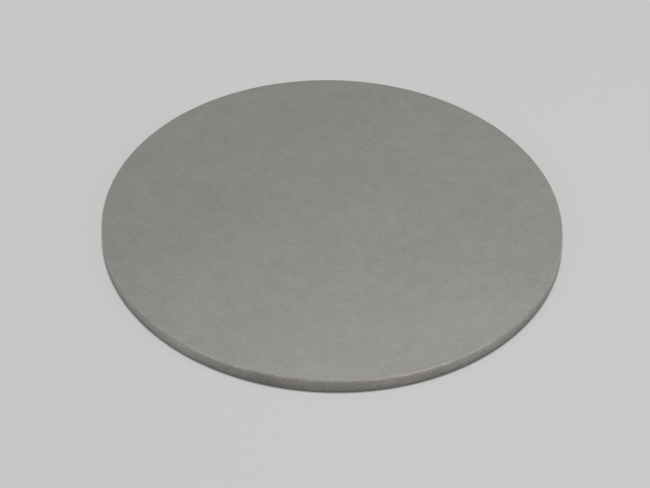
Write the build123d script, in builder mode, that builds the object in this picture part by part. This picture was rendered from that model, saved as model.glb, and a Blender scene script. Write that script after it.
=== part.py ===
from build123d import *
import os

# A planar sputtering target: one round plate, ground flat on both faces, with worn round edges.
# The origin is the centre of the back face, +Z points out of the sputter face, and -Y is the viewer's side.
# Lengths are in millimetres and angles in degrees.

# Driving dimensions
diameter = 101.6
thickness = 3.175
sputter_edge_radius = 0.25
back_edge_radius = 0.45

# Flakes that the brittle plate has lost along its sputter edge, each with its bearing from +X towards +Y
# and its width along the edge. A wider flake runs deeper, in the same proportion.
flake_depth_to_width = 0.14
edge_flakes = [
    (235.0, 0.80),
    (241.4, 0.70),
    (247.2, 0.90),
    (252.8, 1.20),
    (257.5, 0.75),
    (261.1, 0.95),
    (263.7, 1.10),
    (267.8, 1.00),
    (272.5, 0.65),
    (277.9, 0.85),
    (282.7, 0.70),
    (308.2, 0.80),
    (322.3, 0.90),
]

radius = diameter / 2


def ball_radius(width, depth):
    """The radius of the ball whose cap has this width and depth."""
    return (width**2 / 4 + depth**2) / (2 * depth)


with BuildPart() as target_disc:
    # The plain plate, then its two rounded edges
    with BuildSketch():
        Circle(radius)
    extrude(amount=thickness)
    fillet(target_disc.edges().group_by(Axis.Z)[-1], sputter_edge_radius)
    fillet(target_disc.edges().group_by(Axis.Z)[0], back_edge_radius)

    # Each flake is the cap of a ball, sunk square to the skin of the sputter edge at the edge's middle
    outwards = Vector(1, 0, 1).normalized()
    rounding_centre = Vector(radius - sputter_edge_radius, 0, thickness - sputter_edge_radius)
    edge_skin = rounding_centre + outwards * sputter_edge_radius
    for bearing, width in edge_flakes:
        depth = width * flake_depth_to_width
        ball = ball_radius(width, depth)
        centre = edge_skin + outwards * (ball - depth)
        with Locations(centre.rotate(Axis.Z, bearing)):
            Sphere(ball, mode=Mode.SUBTRACT)

target_disc.part.label = "target_disc"

os.makedirs("parts", exist_ok=True)
export_step(target_disc.part, "parts/target_disc.step")
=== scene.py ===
"""The looks of a round ceramic sputtering target, built around its CAD frame. Lengths are in metres."""

import logging
import math
import random
from dataclasses import dataclass, replace
from enum import Enum

import bpy
import numpy as np
from mathutils import Matrix, Vector


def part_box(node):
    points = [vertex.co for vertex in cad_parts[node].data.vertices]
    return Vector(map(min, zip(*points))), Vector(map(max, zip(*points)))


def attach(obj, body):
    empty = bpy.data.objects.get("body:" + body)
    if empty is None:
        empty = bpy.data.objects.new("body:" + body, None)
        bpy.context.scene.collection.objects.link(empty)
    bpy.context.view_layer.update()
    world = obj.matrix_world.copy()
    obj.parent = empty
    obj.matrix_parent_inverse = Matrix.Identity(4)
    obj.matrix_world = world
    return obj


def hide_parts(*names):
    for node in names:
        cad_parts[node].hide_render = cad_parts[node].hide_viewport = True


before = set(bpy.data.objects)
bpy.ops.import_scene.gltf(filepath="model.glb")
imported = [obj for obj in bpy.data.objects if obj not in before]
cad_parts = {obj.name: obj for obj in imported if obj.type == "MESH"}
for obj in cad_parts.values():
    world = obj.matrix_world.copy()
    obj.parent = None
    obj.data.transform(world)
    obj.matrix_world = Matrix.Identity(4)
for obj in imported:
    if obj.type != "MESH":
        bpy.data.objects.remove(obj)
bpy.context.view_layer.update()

MM = 0.001
DIAGONAL = math.sqrt(0.5)  # how far a line at 45 degrees goes along each axis, as a share of its length
NODE = "target_disc"
FRACTURE = "fracture"
log = logging.getLogger("sputtering_target")


class Surface(Enum):
    """The plate's surfaces, each with its material slot. The rim takes in both rounded edges."""

    SPUTTER_FACE = 0
    RIM = 1
    BACK_FACE = 2


class Operation(Enum):
    """The sums that the finishes make with their tones."""

    ADD = "ADD"
    MULTIPLY = "MULTIPLY"
    SUBTRACT = "SUBTRACT"


@dataclass(frozen=True)
class Grain:
    """One layer of tone in a ceramic surface: noise of a real cell size, stretched along its turn.

    Attributes:
        cell: length, width and depth of one cell of the noise.
        strength: how far the tone swings either way from even, as a share.
        detail: how many finer octaves ride on the noise.
        turn: angle from +X to the long side of the cells, in degrees.
    """

    cell: tuple[float, float, float]
    strength: float
    detail: float = 2.0
    turn: float = 0.0


@dataclass(frozen=True)
class Spot:
    """A faint spot on a surface, darker than the rest of it or paler.

    Attributes:
        across: place to the right of the axis, in plate radii.
        away: place beyond the axis, in plate radii.
        reach: radius of the spot.
        strength: how much of the tone it takes away at its middle, as a share. Below zero it adds.
    """

    across: float
    away: float
    reach: float
    strength: float


class NodeBench:
    """A new material with its shader, and short calls for the nodes that the finishes are made of."""

    def __init__(self, name: str) -> None:
        """Makes the material.

        Args:
            name: the material's name.
        """
        self.material = bpy.data.materials.new(name)
        self.material.use_nodes = True
        self.tree = self.material.node_tree
        self.shader = next(n for n in self.tree.nodes if n.type == "BSDF_PRINCIPLED")
        self.place = self.node("ShaderNodeTexCoord").outputs["Object"]

    def node(self, kind: str) -> bpy.types.Node:
        """Adds a node of this kind."""
        return self.tree.nodes.new(kind)

    def feed(self, source: bpy.types.NodeSocket | float, target: bpy.types.NodeSocket) -> None:
        """Gives a socket its value, which is another node's output or a plain number."""
        if isinstance(source, bpy.types.NodeSocket):
            self.tree.links.new(source, target)
        else:
            target.default_value = source

    def sum(
        self,
        operation: Operation,
        first: bpy.types.NodeSocket | float,
        second: bpy.types.NodeSocket | float,
    ) -> bpy.types.NodeSocket:
        """Adds, subtracts or multiplies two tones.

        Args:
            operation: what to do with them.
            first: the first tone.
            second: the second tone.

        Returns:
            The result's socket.
        """
        maths = self.node("ShaderNodeMath")
        maths.operation = operation.value
        self.feed(first, maths.inputs[0])
        self.feed(second, maths.inputs[1])
        return maths.outputs[0]

    def noise(self, grain: Grain) -> bpy.types.NodeSocket:
        """Noise in the grain's real cell size, around 0.5.

        Args:
            grain: the layer of tone.

        Returns:
            The noise's socket.
        """
        mapping = self.node("ShaderNodeMapping")
        mapping.vector_type = "TEXTURE"
        mapping.inputs["Rotation"].default_value = (0, 0, math.radians(grain.turn))
        mapping.inputs["Scale"].default_value = grain.cell
        self.feed(self.place, mapping.inputs["Vector"])
        noise = self.node("ShaderNodeTexNoise")
        noise.inputs["Scale"].default_value = 1.0
        noise.inputs["Detail"].default_value = grain.detail
        self.feed(mapping.outputs[0], noise.inputs["Vector"])
        return noise.outputs["Fac"]

    def swing(self, grain: Grain) -> bpy.types.NodeSocket:
        """The grain's noise, centred on zero and as strong as the grain says."""
        centred = self.sum(Operation.SUBTRACT, self.noise(grain), 0.5)
        return self.sum(Operation.MULTIPLY, centred, 2 * grain.strength)

    def spot(self, spot: Spot, plate_radius: float) -> bpy.types.NodeSocket:
        """A soft round spot that has its full strength at its middle and none past its reach.

        Args:
            spot: the spot.
            plate_radius: the plate's radius, in which its place is given.

        Returns:
            The spot's socket.
        """
        mapping = self.node("ShaderNodeMapping")
        mapping.vector_type = "TEXTURE"
        middle = (spot.across * plate_radius, spot.away * plate_radius, 0)
        mapping.inputs["Location"].default_value = middle
        mapping.inputs["Scale"].default_value = (spot.reach, spot.reach, 1)
        self.feed(self.place, mapping.inputs["Vector"])
        ball = self.node("ShaderNodeTexGradient")
        ball.gradient_type = "QUADRATIC_SPHERE"
        self.feed(mapping.outputs[0], ball.inputs["Vector"])
        return self.sum(Operation.MULTIPLY, ball.outputs["Fac"], spot.strength)

    def ramp(
        self,
        value: bpy.types.NodeSocket,
        start: tuple[float, float],
        end: tuple[float, float],
    ) -> bpy.types.NodeSocket:
        """A straight ramp, level outside its two ends.

        Args:
            value: what the ramp runs along.
            start: where it starts, and what it gives there.
            end: where it ends, and what it gives there.

        Returns:
            The ramp's socket.
        """
        ramp = self.node("ShaderNodeMapRange")
        self.feed(value, ramp.inputs["Value"])
        for name, number in zip(("From Min", "To Min", "From Max", "To Max"), start + end):
            ramp.inputs[name].default_value = number
        return ramp.outputs["Result"]

    def height(self) -> bpy.types.NodeSocket:
        """The height above the floor.

        Returns:
            The height's socket.
        """
        parts = self.node("ShaderNodeSeparateXYZ")
        self.feed(self.place, parts.inputs[0])
        return parts.outputs["Z"]

    def fracture(self) -> bpy.types.NodeSocket:
        """How freshly broken the surface is: one inside a chip, and zero on ground surfaces.

        Returns:
            The socket of that share.
        """
        attribute = self.node("ShaderNodeAttribute")
        attribute.attribute_name = FRACTURE
        return attribute.outputs["Fac"]

    def shade(
        self, tint: tuple[float, float, float], tone: bpy.types.NodeSocket
    ) -> bpy.types.NodeSocket:
        """A colour made lighter or darker by a tone.

        Args:
            tint: the colour at a tone of one.
            tone: the tone.

        Returns:
            The shaded colour's socket.
        """
        scale = self.node("ShaderNodeVectorMath")
        scale.operation = "SCALE"
        scale.inputs[0].default_value = tint
        self.feed(tone, scale.inputs["Scale"])
        return scale.outputs["Vector"]

    def blend(
        self,
        share: bpy.types.NodeSocket,
        first: bpy.types.NodeSocket,
        second: bpy.types.NodeSocket,
    ) -> bpy.types.NodeSocket:
        """A mix of two colours.

        Args:
            share: how much of the second colour there is.
            first: the first colour.
            second: the second colour.

        Returns:
            The mixed colour's socket.
        """
        mix = self.node("ShaderNodeMix")
        mix.data_type = "RGBA"
        self.feed(share, mix.inputs["Factor"])
        self.feed(first, mix.inputs["A"])
        self.feed(second, mix.inputs["B"])
        return mix.outputs["Result"]

    def bump(self, height: bpy.types.NodeSocket, depth: float) -> None:
        """Gives the shader a relief.

        Args:
            height: the relief, from 0 to 1.
            depth: how deep it is between 0 and 1.
        """
        bump = self.node("ShaderNodeBump")
        bump.inputs["Distance"].default_value = depth
        self.feed(height, bump.inputs["Height"])
        self.feed(bump.outputs["Normal"], self.shader.inputs["Normal"])


@dataclass(frozen=True)
class RimShadeAndHighlight:
    """How the rim's tone runs up from its foot to the lip under the sputter face: painted shade darkens
    the foot, painted light lifts the rounded foot, and a painted highlight lightens the lip.

    Attributes:
        foot_shade: how much paler than even the foot is, as a share. Below zero it is darker.
        lip_highlight: the same at the lip.
        foot_shade_warmth: how much more of the warm colour the foot has than the cool one, as a share.
        lip_highlight_warmth: the same at the lip.
        foot_painted_light: how much paler the rounded foot is than the run from foot to lip alone makes
            it.
        foot: the height up to which that lift is full, and the height where it ends.
        lip: how deep under the sputter face the painted highlight is full, and how deep it ends.
        lip_glints_and_shade: darker and paler spots on the lip.
    """

    foot_shade: float
    lip_highlight: float
    foot_shade_warmth: float
    lip_highlight_warmth: float
    foot_painted_light: float
    foot: tuple[float, float]
    lip: tuple[float, float]
    lip_glints_and_shade: tuple[Spot, ...] = ()

    def tone(
        self, bench: NodeBench, plate_radius: float, plate_thickness: float
    ) -> bpy.types.NodeSocket:
        """How much paler than even each height is, as a share: painted shade at the foot, painted light
        on the rounded foot, and a painted highlight with painted glints and shade at the lip.

        Args:
            bench: the material to add to.
            plate_radius: the plate's radius, in which spots are placed.
            plate_thickness: the plate's thickness.

        Returns:
            The tone's socket.
        """
        height = bench.height()
        highlight_from, highlight_full = (plate_thickness - depth for depth in self.lip[::-1])
        # Painted shade darkens the rim towards its foot and a painted highlight lightens it towards the
        # lip.
        tone = bench.ramp(height, (0, self.foot_shade), (highlight_from, self.lip_highlight))
        # Painted light on the rounded foot, over the shade on its underside.
        lift = bench.ramp(height, (self.foot[0], self.foot_painted_light), (self.foot[1], 0))
        tone = bench.sum(Operation.ADD, tone, lift)
        # Painted glints and painted shade along the lip.
        on_lip = bench.ramp(height, (highlight_from, 0), (highlight_full, 1))
        for spot in self.lip_glints_and_shade:
            loss = bench.sum(Operation.MULTIPLY, bench.spot(spot, plate_radius), on_lip)
            tone = bench.sum(Operation.SUBTRACT, tone, loss)
        return tone

    def warmth(self, bench: NodeBench, plate_thickness: float) -> bpy.types.NodeSocket:
        """How much more of the warm colour each height has, as a share: cooler in the painted shade at
        the foot, warmer in the painted highlight at the lip.
        """
        return bench.ramp(bench.height(), (0, self.foot_shade_warmth), (plate_thickness, self.lip_highlight_warmth))


@dataclass(frozen=True)
class CeramicFinish:
    """A ground surface of the grey ceramic.

    Attributes:
        name: the material's name.
        warm: its linear colour in the warmer patches.
        cool: its linear colour in the cooler patches.
        patches: how the warm and cool patches lie.
        grains: the layers of tone on the colour.
        relief: the grinding marks that the light picks out.
        relief_depth: how deep those marks are.
        roughness: the shader's mean roughness.
        roughness_swing: how far the roughness runs from the bottom of the marks to their top.
        spots: faint darker and paler spots, on the sputter face partly painted sheen that is darker at
            the back and paler at the front.
        fracture: how much darker the inside of a chip is, as a share.
        rim_shade_and_highlight: how the tone runs up the rim, or nothing on a face.
    """

    name: str
    warm: tuple[float, float, float]
    cool: tuple[float, float, float]
    patches: Grain
    grains: tuple[Grain, ...]
    relief: Grain
    relief_depth: float
    roughness: float
    roughness_swing: float = 0.16
    spots: tuple[Spot, ...] = ()
    fracture: float = 0.0
    rim_shade_and_highlight: RimShadeAndHighlight | None = None

    def make(self, plate_radius: float, plate_thickness: float) -> bpy.types.Material:
        """Makes the material.

        Args:
            plate_radius: the plate's radius, in which spots are placed.
            plate_thickness: the plate's thickness, over which the rim's tone runs.

        Returns:
            The material.
        """
        bench = NodeBench(self.name)
        tone: bpy.types.NodeSocket | float = 1.0
        for grain in self.grains:
            tone = bench.sum(Operation.ADD, tone, bench.swing(grain))
        for spot in self.spots:
            tone = bench.sum(Operation.SUBTRACT, tone, bench.spot(spot, plate_radius))
        loss = bench.sum(Operation.MULTIPLY, bench.fracture(), self.fracture)
        tone = bench.sum(Operation.SUBTRACT, tone, loss)
        share = bench.sum(Operation.ADD, bench.swing(self.patches), 0.5)
        # On the rim: painted shade towards the foot and a painted highlight at the lip.
        if self.rim_shade_and_highlight:
            rim_light_and_shade = self.rim_shade_and_highlight.tone(bench, plate_radius, plate_thickness)
            tone = bench.sum(Operation.ADD, tone, rim_light_and_shade)
            share = bench.sum(Operation.ADD, share, self.rim_shade_and_highlight.warmth(bench, plate_thickness))
        colour = bench.blend(share, bench.shade(self.cool, tone), bench.shade(self.warm, tone))
        bench.feed(colour, bench.shader.inputs["Base Color"])
        marks = bench.noise(self.relief)
        roughness = bench.sum(Operation.MULTIPLY, marks, self.roughness_swing)
        roughness = bench.sum(Operation.ADD, roughness, self.roughness - self.roughness_swing / 2)
        bench.feed(roughness, bench.shader.inputs["Roughness"])
        bench.bump(marks, self.relief_depth)
        return bench.material


@dataclass(frozen=True)
class Flake:
    """A shell-shaped chip off the sputter edge: the cap of a ball, sunk into the edge's middle.

    Attributes:
        bearing: where it is round the plate, in degrees from +X towards +Y.
        width: its width along the edge.
        depth: its depth under the edge's own skin.
    """

    bearing: float
    width: float
    depth: float

    def ball(self, skin_radius: float, skin_height: float) -> tuple[Vector, float]:
        """The ball whose cap the chip is.

        Args:
            skin_radius: distance from the axis to the middle of the rounded edge.
            skin_height: height of that middle.

        Returns:
            The ball's centre and its radius.
        """
        radius = (self.width**2 / 4 + self.depth**2) / (2 * self.depth)
        lift = (radius - self.depth) * DIAGONAL
        out = skin_radius + lift
        angle = math.radians(self.bearing)
        centre = Vector((out * math.cos(angle), out * math.sin(angle), skin_height + lift))
        return centre, radius


@dataclass(frozen=True)
class Ring:
    """One ring of the plate's mesh: its radius, its height, and how many points are on it."""

    radius: float
    height: float
    points: int


@dataclass
class TargetPlate:
    """The plate: a fine mesh with its rounded edges, its flakes and the crumble along its sputter edge.

    Attributes:
        radius: the plate's radius.
        thickness: the plate's thickness.
        sputter_round: radius of the edge round the sputter face.
        back_round: radius of the edge round the back face.
        round_steps: steps in which each rounded edge is laid.
        edge_points: points on each ring near the chipped sputter edge.
        back_points: points on each ring near the back edge.
        finest_step: spacing of the rings next to an edge.
        step_growth: how much wider each next step is.
        widest_rim_step: the widest spacing of the rings on the rim.
        flake_depth_to_width: depth of a flake as a share of its width.
        flakes: bearing and width of each of the larger flakes.
        crumble_seed: what the fine crumble is drawn from.
        crumbs: how many chips the fine crumble has.
        crumbled_stretch: the bearings between which the crumble is thicker.
        crumbled_turn: one crumb in this many is drawn on that stretch, and the others anywhere.
        crumb_widths: the narrowest and the widest of them.
        crumb_depths: their least and greatest depth, as a share of the width.
        chip_reach: no chip goes further than this in from the outline or down from the sputter face.
        fracture_depth: how deep a point has to be sunk to take a chip's full darkening.
        sharp_turn: the turn between two faces from which their common edge looks sharp, in degrees.
    """

    radius: float
    thickness: float
    sputter_round: float = 0.25 * MM
    back_round: float = 0.45 * MM
    round_steps: int = 4
    edge_points: int = 4320
    back_points: int = 1080
    finest_step: float = 0.075 * MM
    step_growth: float = 1.4
    widest_rim_step: float = 0.6 * MM
    flake_depth_to_width: float = 0.14
    flakes: tuple[tuple[float, float], ...] = (
        (235.0, 0.80 * MM),
        (241.4, 0.70 * MM),
        (247.2, 0.90 * MM),
        (252.8, 1.20 * MM),
        (257.5, 0.75 * MM),
        (261.1, 0.95 * MM),
        (263.7, 1.10 * MM),
        (267.8, 1.00 * MM),
        (272.5, 0.65 * MM),
        (277.9, 0.85 * MM),
        (282.7, 0.70 * MM),
        (308.2, 0.80 * MM),
        (322.3, 0.90 * MM),
    )
    crumble_seed: int = 7
    crumbs: int = 520
    crumbled_stretch: tuple[float, float] = (246.0, 280.0)
    crumbled_turn: int = 4
    crumb_widths: tuple[float, float] = (0.16 * MM, 0.42 * MM)
    crumb_depths: tuple[float, float] = (0.1, 0.2)
    chip_reach: float = 1.5 * MM
    fracture_depth: float = 0.05 * MM
    sharp_turn: float = 28.0

    def _thinned(self, points: int, step: float) -> int:
        """Half of a ring's points where they lie closer than half a step, and else all of them."""
        crowded = step > 2 * math.tau * self.radius / points
        return points // 2 if crowded and points % 2 == 0 else points

    def _face_rings(self, flat_radius: float, height: float, points: int) -> list[Ring]:
        """The rings of a face, from its edge to near its middle, with ever fewer points and wider steps.

        Args:
            flat_radius: the flat face's own radius.
            height: the face's height.
            points: points on its outermost ring.

        Returns:
            The rings, outermost first.
        """
        rings = []
        radius, step = flat_radius, self.finest_step
        while radius > 0:
            rings.append(Ring(radius, height, points))
            radius -= step
            step *= self.step_growth
            points = self._thinned(points, step)
        return rings

    def _rounded_edge(self, radius: float, above: bool) -> list[Ring]:
        """The rings of a rounded edge, from the rim towards its face, without the ones at its two ends.

        Args:
            radius: the edge's radius.
            above: whether it is the upper edge.

        Returns:
            The rings, the one nearest the rim first.
        """
        rings = []
        points = self.edge_points if above else self.back_points
        for step in range(1, self.round_steps):
            turn = math.pi / 2 * step / self.round_steps
            rise = radius * (1 - math.sin(turn))
            height = self.thickness - rise if above else rise
            rings.append(Ring(self.radius - radius * (1 - math.cos(turn)), height, points))
        return rings

    def _rim_rings(self) -> list[Ring]:
        """The rings of the straight rim, closest together at its upper end.

        Returns:
            The rings, from the uppermost down.
        """
        rings = []
        height, step, points = self.thickness - self.sputter_round, self.finest_step, self.edge_points
        while height > self.back_round + step / 2:
            rings.append(Ring(self.radius, height, points))
            height -= step
            step = min(step * self.step_growth, self.widest_rim_step)
            points = max(self._thinned(points, step), self.back_points)
        rings.append(Ring(self.radius, self.back_round, self.back_points))
        return rings

    def rings(self) -> list[tuple[Ring, Surface]]:
        """Every ring, from the middle of the sputter face over the rim to the middle of the back face.

        Returns:
            The rings, each with the surface that lies between it and the ring before it.
        """
        front = self._face_rings(self.radius - self.sputter_round, self.thickness, self.edge_points)[::-1]
        upper_edge = self._rounded_edge(self.sputter_round, True)[::-1]
        rim = self._rim_rings()
        lower_edge = self._rounded_edge(self.back_round, False)
        back = self._face_rings(self.radius - self.back_round, 0.0, self.back_points)
        laid = [(ring, Surface.SPUTTER_FACE) for ring in front]
        laid += [(ring, Surface.RIM) for ring in upper_edge + rim + lower_edge + back[:1]]
        laid += [(ring, Surface.BACK_FACE) for ring in back[1:]]
        return laid

    def _chips(self) -> list[Flake]:
        """The larger flakes, and the fine crumble between them, which is thicker on one stretch.

        Returns:
            The chips, the larger flakes first.
        """
        share = self.flake_depth_to_width
        chips = [Flake(bearing, width, width * share) for bearing, width in self.flakes]
        chance = random.Random(self.crumble_seed)
        for crumb in range(self.crumbs):
            on_stretch = crumb % self.crumbled_turn == 0
            bearing = chance.uniform(*(self.crumbled_stretch if on_stretch else (0, 360)))
            width = chance.uniform(*self.crumb_widths)
            chips.append(Flake(bearing, width, width * chance.uniform(*self.crumb_depths)))
        return chips

    def _chip(self, points: np.ndarray) -> np.ndarray:
        """Sinks every chip into the points, in place.

        Args:
            points: the mesh's points.

        Returns:
            How far each point has moved.
        """
        before = points.copy()
        near = np.flatnonzero(
            (np.hypot(points[:, 0], points[:, 1]) > self.radius - self.chip_reach)
            & (points[:, 2] > self.thickness - self.chip_reach)
        )
        inset = self.sputter_round * (1 - DIAGONAL)
        for chip in self._chips():
            centre, ball = chip.ball(self.radius - inset, self.thickness - inset)
            arms = points[near] - np.array(centre)
            reach = np.linalg.norm(arms, axis=1)
            inside = reach < ball
            points[near[inside]] += arms[inside] * (ball / reach[inside] - 1)[:, None]
        return np.linalg.norm(points - before, axis=1)

    @staticmethod
    def _band(outer: int, inner: int, outer_points: int, inner_points: int) -> list[tuple[int, ...]]:
        """The faces between two rings, where one may have twice the points of the other.

        Args:
            outer: index of the first point of the ring that comes second.
            inner: index of the first point of the ring that comes first.
            outer_points: points on the second ring.
            inner_points: points on the first ring.

        Returns:
            The faces, wound so that they point away from the plate.
        """
        faces = []
        if outer_points == inner_points:
            for i in range(outer_points):
                j = (i + 1) % outer_points
                faces.append((inner + i, outer + i, outer + j, inner + j))
        elif outer_points > inner_points:
            for i in range(inner_points):
                j = (i + 1) % inner_points
                a, b, c = outer + 2 * i, outer + 2 * i + 1, outer + (2 * i + 2) % outer_points
                faces += [(inner + i, a, b), (inner + i, b, inner + j), (b, c, inner + j)]
        else:
            for i in range(outer_points):
                j = (i + 1) % outer_points
                a, b, c = inner + 2 * i, inner + 2 * i + 1, inner + (2 * i + 2) % inner_points
                faces += [(a, outer + i, b), (b, outer + i, outer + j), (b, outer + j, c)]
        return faces

    def build(self) -> bpy.types.Object:
        """Builds the plate's mesh.

        Returns:
            The new object, with its material slots still empty.
        """
        laid = self.rings()
        points: list[tuple[float, float, float]] = [(0, 0, self.thickness)]
        faces: list[tuple[int, ...]] = []
        surfaces: list[Surface] = []
        first_points: list[int] = []
        for index, (ring, surface) in enumerate(laid):
            first = len(points)
            for i in range(ring.points):
                angle = math.tau * i / ring.points
                points.append((ring.radius * math.cos(angle), ring.radius * math.sin(angle), ring.height))
            if index == 0:
                new = [(0, first + i, first + (i + 1) % ring.points) for i in range(ring.points)]
            else:
                new = self._band(first, first_points[-1], ring.points, laid[index - 1][0].points)
            faces += new
            surfaces += [surface] * len(new)
            first_points.append(first)
        last, middle = first_points[-1], len(points)
        points.append((0, 0, 0))
        end = laid[-1][0].points
        faces += [(last + i, middle, last + (i + 1) % end) for i in range(end)]
        surfaces += [Surface.BACK_FACE] * end

        places = np.array(points)
        broken = self._chip(places)
        mesh = bpy.data.meshes.new("target_plate")
        mesh.from_pydata(places.tolist(), [], faces)
        mesh.polygons.foreach_set("material_index", [s.value for s in surfaces])
        mesh.polygons.foreach_set("use_smooth", [True] * len(faces))
        mesh.set_sharp_from_angle(angle=math.radians(self.sharp_turn))
        fracture = mesh.attributes.new(FRACTURE, "FLOAT", "POINT")
        fracture.data.foreach_set("value", np.clip(broken / self.fracture_depth, 0, 1).astype(np.float32))
        mesh.update()
        plate = bpy.data.objects.new("target_plate", mesh)
        bpy.context.scene.collection.objects.link(plate)
        return plate

    def dress(self, plate: bpy.types.Object) -> None:
        """Gives each surface its finish."""
        for surface in Surface:
            plate.data.materials.append(FINISHES[surface].make(self.radius, self.thickness))


LAY = -30.0  # the way that the grinding marks run over a face, in degrees from +X
FACE_GRAINS = (
    Grain((0.38 * MM, 0.38 * MM, 1.0), 0.40, 3.0),
    Grain((2.2 * MM, 0.9 * MM, 1.0), 0.13, 2.0, LAY),
    Grain((4.5 * MM, 3.5 * MM, 1.0), 0.11, 2.0, 20.0),
    Grain((22 * MM, 16 * MM, 1.0), 0.06, 1.0, 60.0),
)
FACE_MOTTLING_AND_SHEEN = (
    Spot(0.25, 0.87, 3.0 * MM, 0.05),
    Spot(-0.58, 0.10, 4.0 * MM, 0.04),
    Spot(-0.80, 0.17, 3.5 * MM, 0.04),
    Spot(-0.84, -0.22, 3.0 * MM, 0.04),
    Spot(-0.34, -0.03, 4.0 * MM, 0.03),
    Spot(0.45, -0.28, 4.0 * MM, 0.03),
    Spot(-0.45, 0.02, 15.0 * MM, 0.05),
    Spot(0.32, 0.32, 15.0 * MM, 0.035),
    # The four wide spots below are painted sheen: darker at the back of the face and paler at its front.
    Spot(0.00, 0.95, 55.0 * MM, 0.03),
    Spot(-0.62, -0.62, 24.0 * MM, -0.07),
    Spot(0.62, -0.62, 26.0 * MM, -0.13),
    Spot(0.00, -1.15, 75.0 * MM, -0.245),
)
# Painted glints where the lip catches the lamps, and painted shade on the crumbled stretch at the front.
LIP_GLINTS_AND_SHADE = (
    Spot(-0.12, -0.99, 16.0 * MM, 0.10),
    Spot(-0.36, -0.93, 8.0 * MM, -0.30),
    Spot(-0.46, -0.89, 7.0 * MM, -0.24),
    Spot(0.29, -0.96, 12.0 * MM, -0.30),
    Spot(0.45, -0.89, 12.0 * MM, -0.22),
)
RIM_SPOTS = (
    Spot(-0.24, -0.97, 17.0 * MM, 0.24),
    Spot(-0.41, -0.91, 10.0 * MM, 0.14),
    Spot(-0.56, -0.83, 16.0 * MM, -0.13),
    Spot(0.52, -0.85, 9.0 * MM, -0.05),
    Spot(0.74, -0.67, 9.0 * MM, 0.08),
    Spot(0.83, -0.56, 22.0 * MM, 0.10),
)
FRACTURE_LOSS = 0.12
GROUND_FACE = CeramicFinish(
    name="ground_face",
    warm=(0.2331, 0.2255, 0.2038),
    cool=(0.2258, 0.2275, 0.2058),
    patches=Grain((8.0 * MM, 6.5 * MM, 1.0), 1.2, 2.0, 35.0),
    grains=FACE_GRAINS,
    relief=Grain((3.0 * MM, 0.12 * MM, 1.0), 0.5, 3.0, LAY),
    relief_depth=0.004 * MM,
    roughness=0.46,
    spots=FACE_MOTTLING_AND_SHEEN,
    fracture=FRACTURE_LOSS,
)
GROUND_BACK = replace(
    GROUND_FACE,
    name="ground_back",
    patches=Grain((9.0 * MM, 6.5 * MM, 1.0), 1.2, 2.0, -15.0),
    spots=(),
    fracture=0.0,
)
GROUND_RIM = CeramicFinish(
    name="ground_rim",
    warm=(0.2588, 0.2313, 0.2042),
    cool=(0.2302, 0.2350, 0.2225),
    patches=Grain((9 * MM, 9 * MM, 5 * MM), 1.0),
    grains=(
        Grain((0.38 * MM, 0.38 * MM, 0.38 * MM), 0.48, 3.0),
        Grain((1.1 * MM, 1.1 * MM, 0.7 * MM), 0.22, 2.0),
        Grain((6 * MM, 6 * MM, 3 * MM), 0.22, 1.0),
    ),
    relief=Grain((1.6 * MM, 1.6 * MM, 0.09 * MM), 0.5, 3.0),
    relief_depth=0.005 * MM,
    roughness=0.6,
    spots=RIM_SPOTS,
    fracture=FRACTURE_LOSS,
    # Painted shade darkens and cools the lower rim, painted light lifts the rounded foot, and a painted
    # highlight lightens and warms the lip.
    rim_shade_and_highlight=RimShadeAndHighlight(
        foot_shade=-0.22,
        lip_highlight=0.14,
        foot_shade_warmth=-0.22,
        lip_highlight_warmth=0.10,
        foot_painted_light=0.27,
        foot=(0.25 * MM, 0.60 * MM),
        lip=(0.35 * MM, 0.60 * MM),
        lip_glints_and_shade=LIP_GLINTS_AND_SHADE,
    ),
)
FINISHES = {
    Surface.SPUTTER_FACE: GROUND_FACE,
    Surface.RIM: GROUND_RIM,
    Surface.BACK_FACE: GROUND_BACK,
}


@dataclass(frozen=True)
class SoftBox:
    """A square soft light that looks at the plate.

    Attributes:
        name: the lamp's name.
        bearing: where it stands, in degrees from straight behind the plate towards the right.
        elevation: how high it stands, in degrees above the floor.
        distance: how far it stands from the plate.
        width: the length of its side.
        level: the light it puts on a surface that faces it; 1 shows a colour as it is written.
    """

    name: str
    bearing: float
    elevation: float
    distance: float
    width: float
    level: float

    def place(self) -> None:
        """Puts up the lamp."""
        lamp = bpy.data.lights.new(self.name, "AREA")
        lamp.shape = "SQUARE"
        lamp.size = self.width
        lamp.energy = self.level * (math.pi * self.distance) ** 2
        light = bpy.data.objects.new(self.name, lamp)
        bpy.context.scene.collection.objects.link(light)
        side, rise = math.radians(self.bearing), math.radians(self.elevation)
        level_part = math.cos(rise)
        towards = Vector((math.sin(side) * level_part, math.cos(side) * level_part, math.sin(rise)))
        light.location = towards * self.distance
        light.rotation_euler = towards.to_track_quat("Z", "Y").to_euler()


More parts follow.
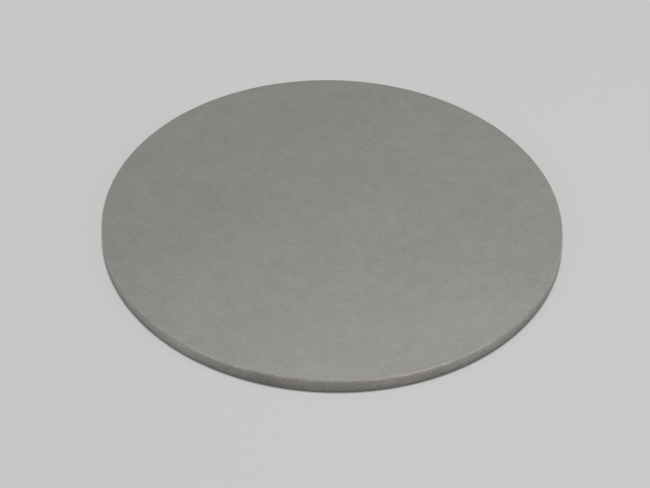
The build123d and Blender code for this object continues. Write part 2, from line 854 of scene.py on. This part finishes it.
@dataclass
class Studio:
    """The pale floor, the soft lights and the even light all round.

    Attributes:
        ground: the linear grey of the floor and of what lies behind it, as the camera sees it.
        floor_width: the length of the floor's side.
        floor_drop: how far the floor lies below the plate, so that the two don't share one plane.
        floor_roughness: the floor's roughness.
        floor_bounce: the floor's linear grey for the light that it throws back onto the plate.
        foot_bounce: the same right at the plate's foot, where the floor lies in soft shade.
        dim_ring: how far out from the foot that shade reaches.
        shadow_share: how much of the floor's own lighting the camera sees on it.
        contact_reach: how far from the plate the floor darkens where they meet.
        contact_tone: the share of its even grey that the floor keeps where that shade is full.
        contact_dark: how open the floor is where that shade is full.
        contact_clear: how open the floor is where that shade ends.
        all_round: the level of the even light.
        boxes: the soft lights.
    """

    ground: float = 0.584
    floor_width: float = 4.0
    floor_drop: float = 0.01 * MM
    floor_roughness: float = 0.9
    floor_bounce: float = 0.5
    foot_bounce: float = 0.15
    dim_ring: float = 3.5 * MM
    shadow_share: float = 0.13
    contact_reach: float = 0.68 * MM
    contact_tone: float = 0.12
    contact_dark: float = 0.45
    contact_clear: float = 0.88
    all_round: float = 0.184
    boxes: tuple[SoftBox, ...] = (
        SoftBox("key_light", 116.0, 32.0, 0.30, 0.15, 0.59),
        SoftBox("fill_light", 237.0, 32.0, 0.78, 0.39, 0.553),
        SoftBox("sheen_light", 3.0, 63.0, 0.36, 0.18, 0.221),
    )

    def _floor(self, plate: TargetPlate) -> None:
        """Lays the floor.

        Args:
            plate: the plate that stands on it.
        """
        half = self.floor_width / 2
        mesh = bpy.data.meshes.new("floor")
        corners = [(-half, -half, 0), (half, -half, 0), (half, half, 0), (-half, half, 0)]
        mesh.from_pydata(corners, [], [(0, 1, 2, 3)])
        floor = bpy.data.objects.new("floor", mesh)
        bpy.context.scene.collection.objects.link(floor)
        floor.location.z = -self.floor_drop
        floor.data.materials.append(self._floor_finish(plate))

    def _floor_finish(self, plate: TargetPlate) -> bpy.types.Material:
        """The floor's finish. The camera sees a part of its grey lit by the lamps and the rest even.

        Args:
            plate: the plate, round whose foot the floor is dimmer.

        Returns:
            The material.
        """
        bench = NodeBench("pale_floor")
        bench.shader.inputs["Roughness"].default_value = self.floor_roughness
        bench.shader.inputs["Specular IOR Level"].default_value = 0.0
        seen = self._seen_directly(bench.tree)
        from_axis = bench.node("ShaderNodeVectorMath")
        from_axis.operation = "LENGTH"
        bench.feed(bench.place, from_axis.inputs[0])
        at_foot = (plate.radius, self.foot_bounce)
        clear_of_foot = (plate.radius + self.dim_ring, self.floor_bounce)
        bounce = bench.ramp(from_axis.outputs["Value"], at_foot, clear_of_foot)
        grey = bench.node("ShaderNodeMapRange")
        bench.feed(seen, grey.inputs["Value"])
        bench.feed(bounce, grey.inputs["To Min"])
        grey.inputs["To Max"].default_value = self.ground * self.shadow_share
        colour = bench.node("ShaderNodeCombineColor")
        for channel in range(3):
            bench.feed(grey.outputs["Result"], colour.inputs[channel])
        bench.feed(colour.outputs["Color"], bench.shader.inputs["Base Color"])
        glow = self.ground * (1 - self.shadow_share)
        bench.shader.inputs["Emission Color"].default_value = (glow, glow, glow, 1)
        opening = bench.node("ShaderNodeAmbientOcclusion")
        opening.inputs["Distance"].default_value = self.contact_reach
        full_shade, no_shade = (self.contact_dark, self.contact_tone), (self.contact_clear, 1)
        contact = bench.ramp(opening.outputs["AO"], full_shade, no_shade)
        strength = bench.sum(Operation.MULTIPLY, seen, contact)
        bench.feed(strength, bench.shader.inputs["Emission Strength"])
        return bench.material

    @staticmethod
    def _seen_directly(tree: bpy.types.NodeTree) -> bpy.types.NodeSocket:
        """One where the camera sees a surface straight, in a gloss or through glass, and zero elsewhere.

        Args:
            tree: the nodes to add to.

        Returns:
            The socket.
        """
        path = tree.nodes.new("ShaderNodeLightPath")
        total = path.outputs["Is Camera Ray"]
        for way in ("Is Glossy Ray", "Is Transmission Ray"):
            either = tree.nodes.new("ShaderNodeMath")
            either.operation = "MAXIMUM"
            tree.links.new(total, either.inputs[0])
            tree.links.new(path.outputs[way], either.inputs[1])
            total = either.outputs[0]
        return total

    def _sky(self) -> None:
        """Fills the space round the plate with even light, in which the camera sees the floor's grey."""
        world = bpy.data.worlds.new("even_light")
        world.use_nodes = True
        bpy.context.scene.world = world
        tree = world.node_tree
        background = next(n for n in tree.nodes if n.type == "BACKGROUND")
        background.inputs["Color"].default_value = (1, 1, 1, 1)
        level = tree.nodes.new("ShaderNodeMapRange")
        tree.links.new(self._seen_directly(tree), level.inputs["Value"])
        level.inputs["To Min"].default_value = self.all_round
        level.inputs["To Max"].default_value = self.ground
        tree.links.new(level.outputs["Result"], background.inputs["Strength"])

    def build(self, plate: TargetPlate) -> None:
        """Puts up the floor, the even light and the lamps.

        Args:
            plate: the plate that they are for.
        """
        self._floor(plate)
        self._sky()
        for box in self.boxes:
            box.place()


@dataclass
class PhotoCamera:
    """The camera at the photograph's angle, fitted to the outlines of both faces.

    Attributes:
        image_width: the picture's width, in pixels.
        image_height: the picture's height, in pixels.
        focal_pixels: the focal length, in pixels.
        face_centre: the pixel of the sputter face's centre, from the left and from the top.
        elevation: how far above the floor it looks down from, in degrees.
        distance: from the camera to the sputter face's centre, in plate radii.
        roll: how far the picture is turned clockwise, in degrees.
        film_width: the camera's film width, in millimetres.
    """

    image_width: int = 650
    image_height: int = 488
    focal_pixels: float = 1400.0
    face_centre: tuple[float, float] = (332.40, 212.23)
    elevation: float = 40.45
    distance: float = 6.113
    roll: float = 1.53
    film_width: float = 36.0

    def build(self, plate: TargetPlate) -> None:
        """Sets up the camera.

        Args:
            plate: the plate that it looks at.
        """
        rise = math.radians(self.elevation)
        forward = Vector((0, math.cos(rise), -math.sin(rise)))
        up = Vector((0, math.sin(rise), math.cos(rise)))
        level_view = Matrix((Vector((1, 0, 0)), -up, forward))
        roll = Matrix.Rotation(math.radians(self.roll), 3, "Z")
        aim = Vector((
            (self.face_centre[0] - self.image_width / 2) / self.focal_pixels,
            (self.face_centre[1] - self.image_height / 2) / self.focal_pixels,
            1,
        ))
        tip = Vector((0, 0, 1)).rotation_difference(aim).to_matrix()
        view = tip @ roll @ level_view

        data = bpy.data.cameras.new("photo_camera")
        data.sensor_width = self.film_width
        data.lens = self.focal_pixels / self.image_width * self.film_width
        camera = bpy.data.objects.new("photo_camera", data)
        bpy.context.scene.collection.objects.link(camera)
        turn = Matrix((view[0], -view[1], -view[2])).transposed()
        place = Vector((0, 0, plate.thickness)) - forward * self.distance * plate.radius
        camera.matrix_world = Matrix.Translation(place) @ turn.to_4x4()
        bpy.context.scene.camera = camera


def main() -> None:
    """Builds the plate in place of the CAD part, and the studio and the camera."""
    logging.basicConfig(level=logging.INFO, format="%(name)s: %(message)s")
    low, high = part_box(NODE)
    shape = TargetPlate(radius=high.x, thickness=high.z - low.z)
    plate = shape.build()
    shape.dress(plate)
    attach(plate, "root")
    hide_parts(NODE)
    triangles = sum(len(polygon.vertices) - 2 for polygon in plate.data.polygons)
    log.info("%s: %d points, %d triangles", plate.name, len(plate.data.vertices), triangles)
    Studio().build(shape)
    PhotoCamera().build(shape)
    bpy.context.scene.view_settings.view_transform = "Standard"


if __name__ == "__main__":
    main()
